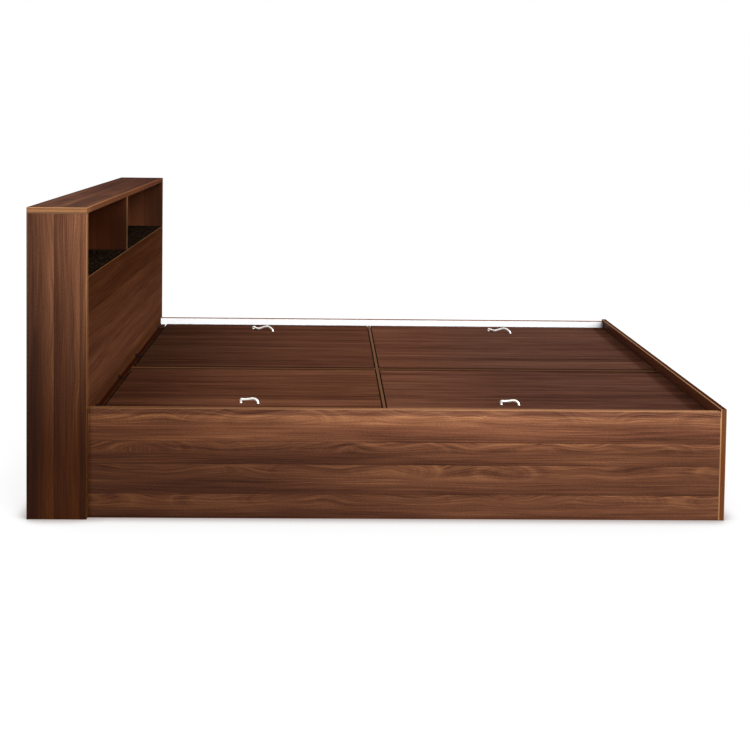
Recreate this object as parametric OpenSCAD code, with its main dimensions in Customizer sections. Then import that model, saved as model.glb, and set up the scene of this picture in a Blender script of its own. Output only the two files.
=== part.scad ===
// Platform bed with box storage, a shelf headboard and four lift-out deck panels.
// X runs from the head to the foot, Y across the bed, Z up from the floor.
// "near" is the side at negative Y, "far" the side at positive Y. Millimetres.

/* [Box] */
// Width over the two side rails
bed_w = 1568; // [1300:1:1900]
// Clear length between headboard and footboard
inner_l = 2001; // [1850:1:2150]
// Thickness of the laminated boards
board_t = 18; // [16:1:22]
// Height of the side rails
rail_h = 350; // [335:1:420]
// Height of the footboard
foot_h = 358; // [340:1:440]
// Thickness of the pale balancing sheet inside each side rail
liner_t = 1; // [0.6:0.1:1.5]

/* [Headboard] */
// Height of the headboard
head_h = 980; // [900:1:1200]
// Depth of the headboard
head_d = 187; // [160:1:300]
// Height of the shelf, with the sheet that covers it and the front board
shelf_z = 764; // [600:1:800]
// Thickness of the back board
back_t = 9; // [6:1:12]
// Thickness of the dark speckled sheet on the shelf
shelf_sheet_t = 1; // [0.6:0.1:1.5]

/* [Deck] */
// Height of the deck surface
deck_z = 323; // [300:1:330]
// Thickness of the deck panels
deck_t = 16; // [12:1:18]
// Distance from the headboard to the deck panels
head_gap = 28; // [24:1:40]
// Gap between deck panels and the boards around them
edge_gap = 3; // [2:0.5:6]
// Gap on each side of the long partition's top edge
mid_gap = 10; // [3:0.5:15]
// Gap on each side of the cross partition's top edge
cross_gap = 4; // [3:0.5:8]
// Offset of the long partition and the headboard divider from the middle
mid_off = -100; // [-120:1:120]
// Offset of the cross partition from the middle of the deck
cross_off = -75; // [-120:1:120]
// Thickness of the cross partitions
cross_t = 9; // [9:1:12]
// Side of the square battens that carry the deck
batten = 25; // [20:1:30]

/* [Storage floor] */
// Side of the square battens under the storage floor
base_batten = 20; // [15:1:30]
// Thickness of the storage floor boards
base_t = 9; // [6:1:12]

/* [Handles] */
// Diameter of the handle wire
wire_d = 8; // [6:0.5:9]
// Head handle on the near side, from the cross partition
near_head_reach = -444; // [-480:1:-300]
// Foot handle on the near side, from the cross partition
near_foot_reach = 419; // [300:1:520]
// Head handle on the far side, from the cross partition
far_head_reach = -470; // [-520:1:-300]
// Foot handle on the far side, from the cross partition
far_foot_reach = 574; // [300:1:620]
// Near handles, from the inside of the near rail
near_inset = 160; // [100:1:250]
// Far handles, from the inside of the far rail
far_inset = 133; // [100:1:250]

/* [Fasteners] */
// Thickness of the black steel angles
angle_t = 2.5; // [2:0.5:3]
// Leg length of the corner angles
angle_leg = 35; // [30:1:45]
// Width of the steel angles
angle_w = 20; // [16:1:25]
// Diameter of the cam discs
cam_d = 15; // [12:1:15]
// Diameter of the wooden dowels
dowel_d = 8; // [6:1:10]

/* [Hidden] */
$fn = 48;

// Colours
walnut = [0.49, 0.31, 0.22];
dark_walnut = [0.36, 0.22, 0.15];
pale_sheet = [0.93, 0.92, 0.94];
speckled = [0.10, 0.08, 0.06];
raw_wood = [0.78, 0.62, 0.42];
fibre_board = [0.62, 0.48, 0.35];
black_steel = [0.06, 0.06, 0.06];
zinc = [0.72, 0.73, 0.75];
bright = [0.90, 0.90, 0.88];

// Stations along the bed
bed_l = head_d + inner_l + board_t;
x_back = -bed_l / 2;
x_front = x_back + head_d;
x_box = x_front + board_t;
x_foot = bed_l / 2 - board_t;
deck_x = [x_front + head_gap, x_foot - edge_gap - 1];
cross_x = (deck_x[0] + deck_x[1]) / 2 + cross_off;

// Stations across the bed
y_out = bed_w / 2;
y_in = y_out - board_t;
y_liner = y_in - liner_t;
mid_half = board_t / 2;
cross_half = cross_t / 2;

// Heights
z_top = head_h - board_t;
z_rest = deck_z - deck_t;
z_head_rail = deck_z - 2;

// The four storage bays: two spans along the bed, two across it
bay_x = [[x_box, cross_x - cross_half], [cross_x + cross_half, x_foot]];
bay_y = [[-y_liner, mid_off - mid_half], [mid_off + mid_half, y_liner]];

// Deck panel spans, matched to the bays
panel_x = [
    [deck_x[0], cross_x - cross_half - cross_gap],
    [cross_x + cross_half + cross_gap, deck_x[1]]
];
panel_y = [
    [-y_liner + edge_gap, mid_off - mid_half - mid_gap],
    [mid_off + mid_half + mid_gap, y_liner - edge_gap]
];

// Rotations that turn the Z axis to each side
to_px = [0, 90, 0];
to_mx = [0, -90, 0];
to_py = [-90, 0, 0];
to_my = [90, 0, 0];
to_pz = [0, 0, 0];
to_mz = [180, 0, 0];

// ---------------------------------------------------------------- shapes

// A block between two opposite corners
module block(a, b) {
    translate([min(a[0], b[0]), min(a[1], b[1]), min(a[2], b[2])])
        cube([abs(b[0] - a[0]), abs(b[1] - a[1]), abs(b[2] - a[2])]);
}

// A round bar from a point, along the turned Z axis
module bar(at, turn, r, h) {
    translate(at) rotate(turn) cylinder(r = r, h = h);
}

// A screw whose head starts at a point and whose shank goes along the turned Z axis
module screw(at, turn, length, shank_r, head_r, head_t) {
    bar(at, turn, shank_r, length);
    bar(at, turn, head_r, head_t);
}

// Screws from a list of [point, turn, length]
screw_r = 2;
screw_head_r = 4;
screw_head_t = 2;
module screws(list) {
    for (s = list) screw(s[0], s[1], s[2], screw_r, screw_head_r, screw_head_t);
}

// ------------------------------------------------------------- fasteners

// Battens: screws start flush in the batten and bite into the board behind it
bite = 7;
cross_bite = 4;
batten_mid = z_rest - batten / 2;
screw_at = [0.12, 0.5, 0.88];
function along(span, f) = span[0] + (span[1] - span[0]) * f;

side_screws = [for (bx = bay_x) for (f = screw_at) for (s = [-1, 1])
    [[along(bx, f), s * (y_liner - batten), batten_mid], s > 0 ? to_py : to_my,
     batten + liner_t + bite]];
centre_screws = [for (bx = bay_x) for (f = screw_at) for (s = [-1, 1])
    [[along(bx, f), mid_off + s * (mid_half + batten), batten_mid],
     s > 0 ? to_my : to_py, batten + bite]];
cross_screws = [for (by = bay_y) for (f = [0.25, 0.75]) for (s = [-1, 1])
    [[cross_x + s * (cross_half + batten), along(by, f), batten_mid],
     s > 0 ? to_mx : to_px, batten + cross_bite]];
head_screws = [for (by = bay_y) for (f = [0.25, 0.75])
    [[x_box + batten, along(by, f), batten_mid], to_mx, batten + bite]];
foot_screws = [for (by = bay_y) for (f = [0.25, 0.75])
    [[x_foot - batten, along(by, f), batten_mid], to_px, batten + bite]];

// Corner angles: [corner x, corner y, height, leg direction x, leg direction y]
angle_z = [100, 220];
partition_angle_z = 150;
rail_corners = [for (s = [-1, 1]) for (z = angle_z) [x_box, s * y_liner, z, 1, -s]];
partition_corners = [for (s = [-1, 1]) for (end = [[x_box, 1], [x_foot, -1]])
    [end[0], mid_off + s * mid_half, partition_angle_z, end[1], s]];
corners = concat(rail_corners, partition_corners);

// Screws through the two legs of each corner angle
angle_hole = 24;
angle_bite = 9;
partition_bite = 7;
angle_reach = screw_head_t + angle_t;
corner_x_screws = [for (c = corners)
    [[c[0] + c[3] * angle_reach, c[1] + c[4] * angle_hole, c[2]],
     c[3] > 0 ? to_mx : to_px, angle_reach + angle_bite]];
function y_screws(list, depth) = [for (c = list)
    [[c[0] + c[3] * angle_hole, c[1] + c[4] * angle_reach, c[2]],
     c[4] > 0 ? to_my : to_py, angle_reach + depth]];
corner_y_screws = concat(y_screws(rail_corners, angle_bite),
                         y_screws(partition_corners, partition_bite));

// Small angles that lie over the head rail in the gap at the head of the deck
gap_y = [-665, mid_off - 163, mid_off + 197, 665];
gap_leg = 18;
gap_rise = 10;
gap_hole = 11;
gap_head_rise = 1;
gap_screw_l = 14;
gap_down_screws = [for (y = gap_y)
    [[x_front + gap_hole, y, z_head_rail + angle_t + gap_head_rise], to_mz, gap_screw_l]];

// Bolts that join the head rail to the headboard
bolt_y = [-620, -250, 110, 620];
bolt_z = 180;
bolt_r = 4;
bolt_head_r = 8;
bolt_head_t = 4;
nut_r = 8;
nut_t = 6;

// Cam fittings: [disc centre on the board face, disc turn, pin start, pin turn]
cam_depth = 13;
cam_reach = 34;
cam_pin_r = 3.5;
cam_pin_l = cam_reach - cam_d / 2 + 10;
rail_cams = [for (s = [-1, 1]) for (z = [100, 240])
    [[x_foot - cam_reach, s * y_liner, z], s > 0 ? to_py : to_my,
     [x_foot - cam_reach + cam_d / 2, s * (y_in + board_t / 2), z], to_px]];
shelf_under = shelf_z - shelf_sheet_t - board_t;
shelf_mid = shelf_under + board_t / 2;
shelf_cams = [for (s = [-1, 1]) for (dx = [60, 130])
    [[x_back + dx, s * (y_out - cam_reach), shelf_under], to_pz,
     [x_back + dx, s * (y_out - cam_reach + cam_d / 2), shelf_mid], s > 0 ? to_py : to_my]];
all_cams = concat(rail_cams, shelf_cams);

// Dowels: [start, turn, length]
dowel_l = 28;
foot_dowels = [for (s = [-1, 1]) for (z = [45, 300])
    [[x_foot - 16, s * (y_in + board_t / 2), z], to_px, dowel_l]];
top_dowels = [for (s = [-1, 1]) for (dx = [45, 150])
    [[x_back + dx, s * (y_out + board_t / 2), z_top - 16], to_pz, dowel_l]];
front_dowels = [for (s = [-1, 1]) for (z = [90, 400, 700])
    [[x_front - board_t / 2, s * (y_out - 16), z], s > 0 ? to_py : to_my, dowel_l]];
divider_dowels = [for (dx = [60, 130])
    [[x_back + dx, mid_off, z_top - 16], to_pz, dowel_l]];
all_dowels = concat(foot_dowels, top_dowels, front_dowels, divider_dowels);

module cam_disc_bodies(list) {
    for (c = list) bar(c[0], c[1], cam_d / 2, cam_depth);
}
module cam_pin_bodies(list) {
    for (c = list) bar(c[2], c[3], cam_pin_r, cam_pin_l);
}
module dowel_bodies(list) {
    for (d = list) bar(d[0], d[1], dowel_d / 2, d[2]);
}
module bolt_shanks() {
    for (y = bolt_y)
        bar([x_box + bolt_head_t, y, bolt_z], to_mx, bolt_r, bolt_head_t + 2 * board_t + nut_t + 2);
}

// ------------------------------------------------------------- headboard

// Headboard side: s is -1 for the near side, 1 for the far side
module headboard_side(s) {
    color(walnut) difference() {
        block([x_back, s * y_out, 0], [x_front, s * (y_out + board_t), z_top]);
        cam_pin_bodies(shelf_cams);
        dowel_bodies(top_dowels);
        dowel_bodies(front_dowels);
    }
}
module headboard_side_near() { headboard_side(-1); }
module headboard_side_far() { headboard_side(1); }

module headboard_top() {
    color(walnut) difference() {
        block([x_back, -y_out - board_t, z_top], [x_front, y_out + board_t, head_h]);
        dowel_bodies(top_dowels);
        dowel_bodies(divider_dowels);
    }
}

module headboard_back() {
    color(dark_walnut) block([x_back, -y_out, 0], [x_back + back_t, y_out, z_top]);
}

module headboard_front() {
    color(dark_walnut) difference() {
        block([x_front - board_t, -y_out, 0], [x_front, y_out, shelf_z - shelf_sheet_t]);
        dowel_bodies(front_dowels);
        bolt_shanks();
    }
}

module headboard_shelf() {
    color(dark_walnut) difference() {
        block([x_back + back_t, -y_out, shelf_under],
              [x_front - board_t, y_out, shelf_z - shelf_sheet_t]);
        cam_disc_bodies(shelf_cams);
        cam_pin_bodies(shelf_cams);
    }
}

// The sheet also covers the top of the front board
module shelf_sheet() {
    color(speckled) block([x_back + back_t, -y_out, shelf_z - shelf_sheet_t],
                          [x_front, y_out, shelf_z]);
}

module headboard_divider() {
    color(walnut) difference() {
        block([x_back + back_t, mid_off - mid_half, shelf_z],
              [x_front, mid_off + mid_half, z_top]);
        dowel_bodies(divider_dowels);
    }
}

// Lowest board inside the headboard, and the two upright ribs that stand on it
floor_board_z = 60;
module headboard_floor_board() {
    color(fibre_board) block([x_back + back_t, -y_out, floor_board_z],
                             [x_front - board_t, y_out, floor_board_z + board_t]);
}

rib_y = [-400, 400];
module headboard_ribs() {
    color(fibre_board) for (y = rib_y)
        block([x_back + back_t, y - board_t / 2, floor_board_z + board_t],
              [x_front - board_t, y + board_t / 2, shelf_under]);
}

// ------------------------------------------------------------------- box

module side_rail(s) {
    color(walnut) difference() {
        block([x_front, s * y_in, 0], [x_foot, s * y_out, rail_h]);
        cam_disc_bodies(rail_cams);
        cam_pin_bodies(rail_cams);
        dowel_bodies(foot_dowels);
        screws(side_screws);
        screws(corner_y_screws);
    }
}
module side_rail_near() { side_rail(-1); }
module side_rail_far() { side_rail(1); }

// The pale sheet stops just above the floor
liner_foot = 2;
module rail_liner(s) {
    color(pale_sheet) difference() {
        block([x_front, s * y_liner, liner_foot], [x_foot, s * y_in, rail_h]);
        cam_disc_bodies(rail_cams);
        screws(side_screws);
        screws(corner_y_screws);
    }
}
module rail_liner_near() { rail_liner(-1); }
module rail_liner_far() { rail_liner(1); }

module footboard() {
    color(walnut) difference() {
        block([x_foot, -y_out, 0], [x_foot + board_t, y_out, foot_h]);
        cam_pin_bodies(rail_cams);
        dowel_bodies(foot_dowels);
        screws(foot_screws);
        screws(corner_x_screws);
    }
}

module head_rail() {
    color(dark_walnut) difference() {
        block([x_front, -y_liner, 0], [x_box, y_liner, z_head_rail]);
        bolt_shanks();
        screws(head_screws);
        screws(corner_x_screws);
        screws(gap_down_screws);
    }
}

module centre_partition() {
    color(walnut) difference() {
        block([x_box, mid_off - mid_half, 0], [x_foot, mid_off + mid_half, deck_z]);
        screws(centre_screws);
        screws(corner_y_screws);
    }
}

// Cross partition in one row of bays: row is 0 for near, 1 for far
module cross_partition(row) {
    color(walnut) difference() {
        block([cross_x - cross_half, bay_y[row][0], 0],
              [cross_x + cross_half, bay_y[row][1], deck_z]);
        screws(cross_screws);
    }
}
module cross_partition_near() { cross_partition(0); }
module cross_partition_far() { cross_partition(1); }

// A batten along X in one bay, on side s of the row
module long_batten(bx, y_face, s) {
    block([bx[0], y_face, z_rest - batten], [bx[1], y_face + s * batten, z_rest]);
}

module side_battens() {
    color(raw_wood) difference() {
        for (bx = bay_x) for (s = [-1, 1]) long_batten(bx, s * y_liner, -s);
        screws(side_screws);
    }
}

module centre_battens() {
    color(raw_wood) difference() {
        for (bx = bay_x) for (s = [-1, 1]) long_batten(bx, mid_off + s * mid_half, s);
        screws(centre_screws);
    }
}

// A batten along Y that fits between the long battens of a row
slack = 0.5;
module short_batten(by, x_face, s) {
    block([x_face, by[0] + batten + slack, z_rest - batten],
          [x_face + s * batten, by[1] - batten - slack, z_rest]);
}

module cross_battens() {
    color(raw_wood) difference() {
        for (by = bay_y) for (s = [-1, 1]) short_batten(by, cross_x + s * cross_half, s);
        screws(cross_screws);
    }
}

module head_battens() {
    color(raw_wood) difference() {
        for (by = bay_y) short_batten(by, x_box, 1);
        screws(head_screws);
    }
}

module foot_battens() {
    color(raw_wood) difference() {
        for (by = bay_y) short_batten(by, x_foot, -1);
        screws(foot_screws);
    }
}

// Two floor battens along each bay
module base_battens() {
    color(raw_wood) for (bx = bay_x) for (by = bay_y) {
        block([bx[0], by[0], 0], [bx[1], by[0] + base_batten, base_batten]);
        block([bx[0], by[1] - base_batten, 0], [bx[1], by[1], base_batten]);
    }
}

// Storage floor of one bay: i is 0 for head, 1 for foot; row is 0 for near, 1 for far
module base_board(i, row) {
    color(pale_sheet)
        block([bay_x[i][0] + slack, bay_y[row][0] + slack, base_batten],
              [bay_x[i][1] - slack, bay_y[row][1] - slack, base_batten + base_t]);
}
module base_near_head() { base_board(0, 0); }
module base_near_foot() { base_board(1, 0); }
module base_far_head() { base_board(0, 1); }
module base_far_foot() { base_board(1, 1); }

// -------------------------------------------------------------- hardware

module corner_angles() {
    color(black_steel) difference() {
        for (c = corners) {
            block([c[0], c[1], c[2] - angle_w / 2],
                  [c[0] + c[3] * angle_leg, c[1] + c[4] * angle_t, c[2] + angle_w / 2]);
            block([c[0], c[1], c[2] - angle_w / 2],
                  [c[0] + c[3] * angle_t, c[1] + c[4] * angle_leg, c[2] + angle_w / 2]);
        }
        screws(corner_x_screws);
        screws(corner_y_screws);
    }
}

module corner_screws() {
    color(zinc) screws(concat(corner_x_screws, corner_y_screws));
}

module gap_angles() {
    color(black_steel) difference() {
        for (y = gap_y) {
            block([x_front, y - angle_w / 2, z_head_rail],
                  [x_front + gap_leg, y + angle_w / 2, z_head_rail + angle_t]);
            block([x_front, y - angle_w / 2, z_head_rail],
                  [x_front + angle_t, y + angle_w / 2, z_head_rail + gap_rise]);
        }
        screws(gap_down_screws);
    }
}

module gap_screws() {
    color(black_steel) screws(gap_down_screws);
}

module joining_bolts() {
    color(zinc) {
        bolt_shanks();
        for (y = bolt_y) bar([x_box, y, bolt_z], to_px, bolt_head_r, bolt_head_t);
    }
}

module joining_nuts() {
    color(zinc) difference() {
        for (y = bolt_y)
            translate([x_front - board_t, y, bolt_z]) rotate(to_mx)
                cylinder(r = nut_r, h = nut_t, $fn = 6);
        bolt_shanks();
    }
}

module cam_discs() { color(zinc) cam_disc_bodies(all_cams); }
module cam_bolts() {
    color(zinc) difference() {
        cam_pin_bodies(all_cams);
        cam_disc_bodies(all_cams);
    }
}
module dowels() { color(raw_wood) dowel_bodies(all_dowels); }
module batten_screws() {
    color(zinc) screws(concat(side_screws, centre_screws, cross_screws, head_screws, foot_screws));
}

// ------------------------------------------------- deck panels and handles

// Middle line of each wave handle above the deck, from foot to foot: [along, across, up]
near_wave = [
    [-28.5, 0, 0], [-28.5, 0, 6.5], [-26.5, 0, 11], [-18, 0, 10.5], [-4, 0, 11.5],
    [10, -1, 13.5], [19, -3, 12.5], [26.5, -6, 7], [28.5, -7, 0]
];
far_wave = [
    [-45, 32, 0], [-45.5, 32, 5], [-42, 29, 9], [-25, 7, 6.5], [-6, 3, 11],
    [12, -2, 17.5], [26, -6, 17], [40, -14, 8], [44, -18, 0]
];
wave_steps = 4;
wave_sides = 12;

// A smooth curve through the points, with equal steps between each pair
function blend(a, b, c, d, t) = 0.5 * (2 * b + (c - a) * t
    + (2 * a - 5 * b + 4 * c - d) * t * t + (3 * b - a - 3 * c + d) * t * t * t);
function smooth(p, n) = concat(
    [for (i = [0 : len(p) - 2]) for (k = [0 : n - 1])
        blend(p[max(i - 1, 0)], p[i], p[i + 1], p[min(i + 2, len(p) - 1)], k / n)],
    [p[len(p) - 1]]);
function unit(v) = v / norm(v);

// A round wire swept along a path that stands on the deck at both ends
module wire(path, r) {
    last = len(path) - 1;
    rings = [for (i = [0 : last])
        let (way = i == 0 ? [0, 0, 1] : i == last ? [0, 0, -1]
                 : unit(path[i + 1] - path[i - 1]),
             side = unit(cross(way, [0, 1, 0])),
             up = cross(side, way))
        [for (k = [0 : wave_sides - 1])
            path[i] + r * (cos(k * 360 / wave_sides) * side + sin(k * 360 / wave_sides) * up)]];
    points = [for (ring = rings) for (p = ring) p];
    walls = [for (i = [0 : last - 1]) for (k = [0 : wave_sides - 1])
        let (a = i * wave_sides + k,
             b = i * wave_sides + (k + 1) % wave_sides)
        each [[a, a + wave_sides, b + wave_sides], [a, b + wave_sides, b]]];
    start = [for (k = [0 : wave_sides - 1]) k];
    end = [for (k = [wave_sides - 1 : -1 : 0]) last * wave_sides + k];
    polyhedron(points, concat(walls, [start, end]));
}

reach = [[near_head_reach, near_foot_reach], [far_head_reach, far_foot_reach]];
handle_y = [-y_liner + near_inset, y_liner - far_inset];
waves = [near_wave, far_wave];

// Handle and screw positions of one panel: i is 0 for head, 1 for foot; row 0 near, 1 far
function handle_at(i, row) = [cross_x + reach[row][i], handle_y[row], deck_z];
function feet(i, row) = [for (k = [0, len(waves[row]) - 1]) handle_at(i, row) + waves[row][k]];
handle_screw_r = 2;
handle_head_r = 4;
handle_head_t = 2;
handle_bite = 5;

module handle_screw_bodies(i, row, extra) {
    for (p = feet(i, row))
        screw([p[0], p[1], z_rest - handle_head_t], to_pz,
              handle_head_t + deck_t + handle_bite, handle_screw_r + extra,
              handle_head_r, handle_head_t);
}

module deck_panel(i, row) {
    color(dark_walnut) difference() {
        block([panel_x[i][0], panel_y[row][0], z_rest],
              [panel_x[i][1], panel_y[row][1], deck_z]);
        handle_screw_bodies(i, row, 0.1);
    }
}

module handle(i, row) {
    color(bright) difference() {
        translate(handle_at(i, row)) wire(smooth(waves[row], wave_steps), wire_d / 2);
        handle_screw_bodies(i, row, 0.1);
    }
}

module handle_screws(i, row) {
    color(zinc) handle_screw_bodies(i, row, 0);
}

module deck_near_head() { deck_panel(0, 0); }
module deck_near_foot() { deck_panel(1, 0); }
module deck_far_head() { deck_panel(0, 1); }
module deck_far_foot() { deck_panel(1, 1); }
module handle_near_head() { handle(0, 0); }
module handle_near_foot() { handle(1, 0); }
module handle_far_head() { handle(0, 1); }
module handle_far_foot() { handle(1, 1); }
module screws_near_head() { handle_screws(0, 0); }
module screws_near_foot() { handle_screws(1, 0); }
module screws_far_head() { handle_screws(0, 1); }
module screws_far_foot() { handle_screws(1, 1); }

// -------------------------------------------------------------- the nodes

headboard_side_near();
headboard_side_far();
headboard_top();
headboard_back();
headboard_front();
headboard_shelf();
shelf_sheet();
headboard_divider();
headboard_floor_board();
headboard_ribs();
side_rail_near();
side_rail_far();
rail_liner_near();
rail_liner_far();
footboard();
head_rail();
centre_partition();
cross_partition_near();
cross_partition_far();
side_battens();
centre_battens();
cross_battens();
head_battens();
foot_battens();
base_battens();
base_near_head();
base_near_foot();
base_far_head();
base_far_foot();
corner_angles();
corner_screws();
gap_angles();
gap_screws();
joining_bolts();
joining_nuts();
cam_discs();
cam_bolts();
dowels();
batten_screws();
deck_near_head();
deck_near_foot();
deck_far_head();
deck_far_foot();
handle_near_head();
handle_near_foot();
handle_far_head();
handle_far_foot();
screws_near_head();
screws_near_foot();
screws_far_head();
screws_far_foot();
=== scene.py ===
"""Platform bed with box storage: finishes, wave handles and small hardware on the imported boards.

Metres. X runs from head to foot, Y across the bed away from the camera, Z up.
"""

import math
from types import SimpleNamespace

import bpy
import numpy as np
from bpy.props import FloatProperty, FloatVectorProperty, PointerProperty
from mathutils import Matrix, Vector


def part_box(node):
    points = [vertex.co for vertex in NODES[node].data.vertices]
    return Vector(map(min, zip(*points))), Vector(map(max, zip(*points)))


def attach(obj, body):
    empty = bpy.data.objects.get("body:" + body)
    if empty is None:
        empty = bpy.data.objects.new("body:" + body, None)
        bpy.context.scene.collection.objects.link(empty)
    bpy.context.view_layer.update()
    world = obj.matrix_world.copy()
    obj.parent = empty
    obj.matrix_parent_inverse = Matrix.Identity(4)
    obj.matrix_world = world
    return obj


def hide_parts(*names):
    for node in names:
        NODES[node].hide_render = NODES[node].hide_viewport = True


bl_info = {
    "name": "Storage platform bed",
    "version": (1, 0, 0),
    "blender": (4, 5, 0),
    "location": "3D View > Sidebar > Platform Bed",
    "description": "Laminate finishes, wave handles and fittings of a platform bed",
    "category": "Object",
}

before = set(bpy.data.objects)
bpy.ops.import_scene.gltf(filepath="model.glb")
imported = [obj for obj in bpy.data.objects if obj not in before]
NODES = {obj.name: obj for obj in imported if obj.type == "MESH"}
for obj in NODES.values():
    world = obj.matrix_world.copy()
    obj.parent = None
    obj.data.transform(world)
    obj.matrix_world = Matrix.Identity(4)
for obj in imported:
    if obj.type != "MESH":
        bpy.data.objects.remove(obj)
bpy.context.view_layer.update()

MM = 0.001
X, Y, Z = AXES = 0, 1, 2
LIDS = [f"{row}_{end}" for row in ("near", "far") for end in ("head", "foot")]


# ---------- settings

def tone(red, green, blue):
    """Linear colour of an sRGB colour written in 0 to 255."""
    c = np.array([red, green, blue]) / 255
    linear = np.where(c <= 0.04045, c / 12.92, ((c + 0.055) / 1.055) ** 2.4)
    return tuple(float(v) for v in linear)


def colour(name, description, rgb):
    """A colour property whose default is an sRGB colour in 0 to 255."""
    return FloatVectorProperty(name=name, description=description, subtype="COLOR",
                               size=3, min=0, max=1, default=tone(*rgb))


def length(name, description, metres):
    """A length property in metres."""
    return FloatProperty(name=name, description=description, subtype="DISTANCE",
                         unit="LENGTH", default=metres, min=0)


class BedFinishes(bpy.types.PropertyGroup):
    """Colours of the boards and fittings."""

    walnut_dark: colour("Walnut, darkest grain", "Dark lines of the walnut print", (62, 34, 21))
    walnut_low: colour("Walnut, dark grain", "Darker half of the walnut print", (87, 52, 35))
    walnut_mid: colour("Walnut", "Ground colour of the walnut print", (108, 67, 46))
    walnut_high: colour("Walnut, light grain", "Lighter half of the walnut print", (130, 84, 58))
    walnut_gold: colour("Walnut, lightest grain", "Golden streaks of the print", (168, 116, 76))
    band: colour("Edge band", "Middle of the glued edge bands", (146, 94, 56))
    # Pale line on the bands' rounded corners: partly their lighter colour, partly a painted
    # highlight
    arris: colour("Band edge", "Rounded corners of the edge bands", (196, 146, 100))
    white_sheet: colour("White sheet", "Balancing sheet and storage floors", (250, 253, 255))
    speckled: colour("Shelf sheet", "Ground colour of the shelf sheet", (17, 11, 7))
    fleck: colour("Shelf fleck", "Flecks in the shelf sheet", (64, 48, 35))
    softwood: colour("Softwood", "Battens and dowels", (205, 168, 118))
    fibre: colour("Fibre board", "Hidden brown boards", (118, 82, 56))
    black: colour("Black steel", "Powder coat of the angles", (11, 8, 7))
    zinc: colour("Zinc", "Screws, bolts and cam discs", (186, 190, 196))
    bright: colour("Bright metal", "Wave handles", (250, 249, 244))


class BedHardware(bpy.types.PropertyGroup):
    """Sizes of the handles and fittings."""

    wire: length("Handle wire", "Diameter of the handle wire", 8 * MM)
    foot_flare: length("Handle foot", "Growth of the wire's radius at its feet", 0.8 * MM)
    arris_radius: length("Board arris", "Width of the rounded board edges", 0.9 * MM)
    angle_thickness: length("Angle thickness", "Steel angles", 2.5 * MM)
    angle_width: length("Angle width", "Steel angles", 20 * MM)
    angle_leg: length("Angle leg", "Legs of the corner angles", 35 * MM)


class BedStudio(bpy.types.PropertyGroup):
    """Lamps and camera."""

    key: FloatProperty(name="Key light", description="Light from the front, over the near side",
                       default=3.85, min=0)
    side: FloatProperty(name="Side light", description="Light from the foot side",
                        default=1.6, min=0)
    back: FloatProperty(name="Back light", description="Light from behind the headboard",
                        default=1.3, min=0)
    fill: FloatProperty(name="Fill", description="Strength of the light from all round",
                        subtype="FACTOR", default=0.32, min=0, max=2)
    lens: FloatProperty(name="Lens", description="Focal length of the camera",
                        subtype="DISTANCE_CAMERA", unit="CAMERA", default=54.0747, min=1)
    camera_height: length("Camera height", "Height of the lens over the floor", 1.28308)


# ---------- node wiring

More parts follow.
